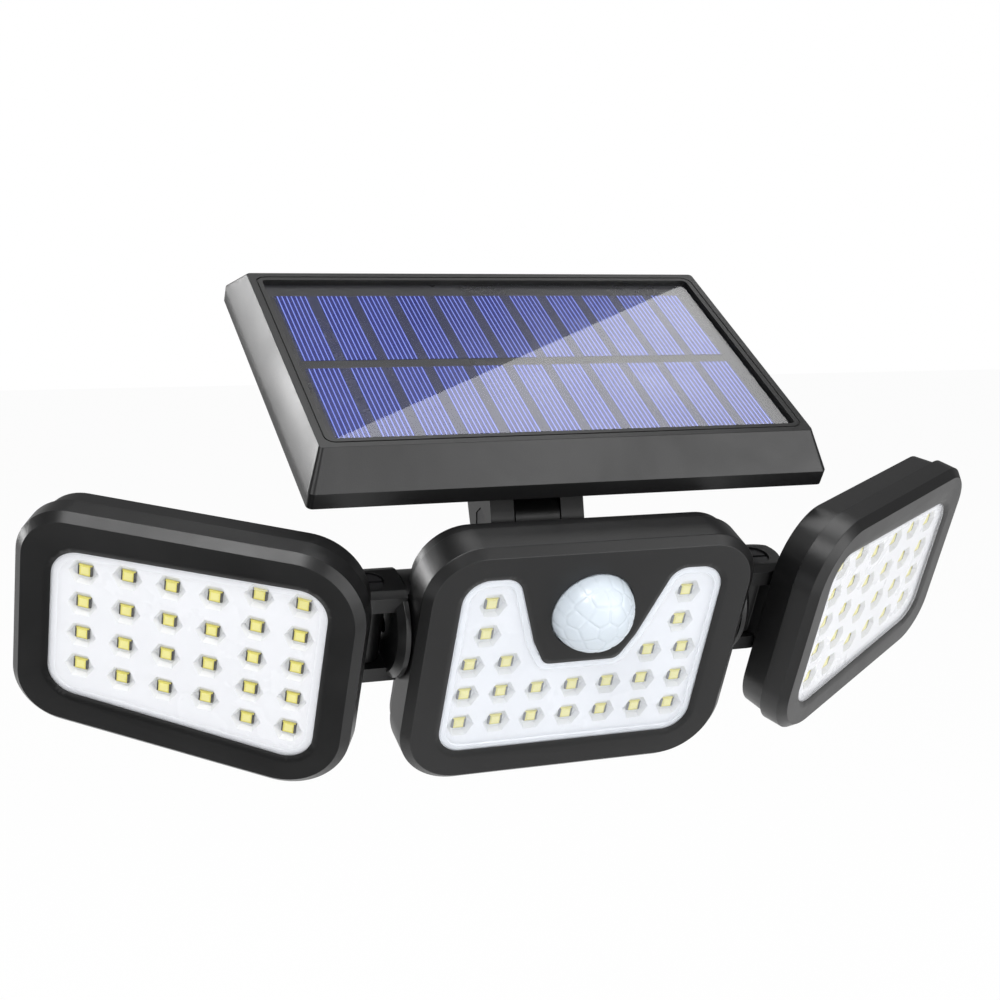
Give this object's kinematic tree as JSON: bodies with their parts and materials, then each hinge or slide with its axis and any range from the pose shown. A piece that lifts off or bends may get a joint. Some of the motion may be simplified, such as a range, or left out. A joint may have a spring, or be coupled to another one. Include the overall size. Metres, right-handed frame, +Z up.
{
  "type": "motion sensor security light",
  "caption": "Solar wall light with a tilting panel, a middle head with a motion sensor dome and two hinged side heads, on a wall bracket.",
  "frame": {"origin": "centre of the wall plate's back face, in the middle of its four wall holes", "axes": "+Z up the wall, -Y out from the wall towards the viewer, +X to the right seen from the front"},
  "size_m": [0.2592, 0.1051, 0.1352],
  "materials": {
    "housing_black": "satin",
    "steel": "satin",
    "inner_black": "matte",
    "seal_rubber": "matte",
    "solar_cells": "gloss",
    "frosted_lens": "frosted",
    "clear_lens": "gloss",
    "white_cups": "gloss",
    "led_board_white": "satin",
    "led_phosphor": "satin",
    "dome_milk": "gloss",
    "board_green": "satin",
    "cell_wrap": "gloss"
  },
  "bodies": {
    "wall_bracket": {"wall_plate": "housing_black", "bracket_arm": "housing_black", "arm_screws": "steel"},
    "solar_panel": {"fork_screws": "steel", "panel_back_cover": "housing_black", "panel_board": "board_green", "panel_bolt": "steel", "panel_cable_gland": "seal_rubber", "panel_fork": "housing_black", "panel_housing": "housing_black", "panel_nut": "steel", "panel_screws": "steel", "panel_seal": "seal_rubber", "solar_laminate": "solar_cells"},
    "centre_head": {"battery_cell": "cell_wrap", "battery_contacts": "steel", "battery_holder": "inner_black", "board_components": "inner_black", "button_switch": "inner_black", "centre_bezel": "housing_black", "centre_led_board": "led_board_white", "centre_leds": "led_phosphor", "centre_lens": "frosted_lens", "centre_rear_housing": "housing_black", "centre_reflector": "white_cups", "centre_screws": "steel", "centre_seal": "seal_rubber", "head_cable_gland": "seal_rubber", "main_board": "board_green", "pir_dome": "dome_milk", "pir_dome_ring": "housing_black", "pir_sensor": "steel", "sensor_board": "board_green", "tilt_bolt": "steel", "tilt_nut": "steel"},
    "mode_button": {"mode_button": "seal_rubber"},
    "left_knuckle": {"left_swivel_knuckle": "housing_black", "left_swivel_nut": "inner_black", "left_fold_pin": "steel"},
    "left_head": {"left_bezel": "housing_black", "left_led_board": "led_board_white", "left_leds": "led_phosphor", "left_lens": "clear_lens", "left_rear_shell": "housing_black", "left_reflector": "white_cups", "left_screws": "steel", "left_seal": "seal_rubber"},
    "right_knuckle": {"right_swivel_knuckle": "housing_black", "right_swivel_nut": "inner_black", "right_fold_pin": "steel"},
    "right_head": {"right_bezel": "housing_black", "right_led_board": "led_board_white", "right_leds": "led_phosphor", "right_lens": "clear_lens", "right_rear_shell": "housing_black", "right_reflector": "white_cups", "right_screws": "steel", "right_seal": "seal_rubber"}
  },
  "joints": [
    {"name": "panel_tilt", "type": "hinge", "parent": "wall_bracket", "child": "solar_panel", "pos_m": [0, -0.055, 0.046], "axis": [1, 0, 0], "range_deg": [-10, 4]},
    {"name": "lamp_tilt", "type": "hinge", "parent": "wall_bracket", "child": "centre_head", "pos_m": [0, -0.05689, 0.0239], "axis": [1, 0, 0], "range_deg": [-8, 30]},
    {"name": "mode_press", "type": "slide", "parent": "centre_head", "child": "mode_button", "axis": [0, -0.9078, -0.4195], "range_m": [0, 0.0008], "stiffness_N_per_m": 500, "springref_m": -0.0004},
    {"name": "left_swivel", "type": "hinge", "parent": "centre_head", "child": "left_knuckle", "pos_m": [-0.0442, -0.07743, 0.02542], "axis": [1, 0, 0], "range_deg": [-20, 45]},
    {"name": "left_fold", "type": "hinge", "parent": "left_knuckle", "child": "left_head", "pos_m": [-0.052, -0.07743, 0.02542], "axis": [0, 0.4195, -0.9078], "range_deg": [-30, 30]},
    {"name": "right_swivel", "type": "hinge", "parent": "centre_head", "child": "right_knuckle", "pos_m": [0.0442, -0.07743, 0.02542], "axis": [1, 0, 0], "range_deg": [-20, 45]},
    {"name": "right_fold", "type": "hinge", "parent": "right_knuckle", "child": "right_head", "pos_m": [0.052, -0.07743, 0.02542], "axis": [0, -0.4195, 0.9078], "range_deg": [-30, 30]}
  ]
}
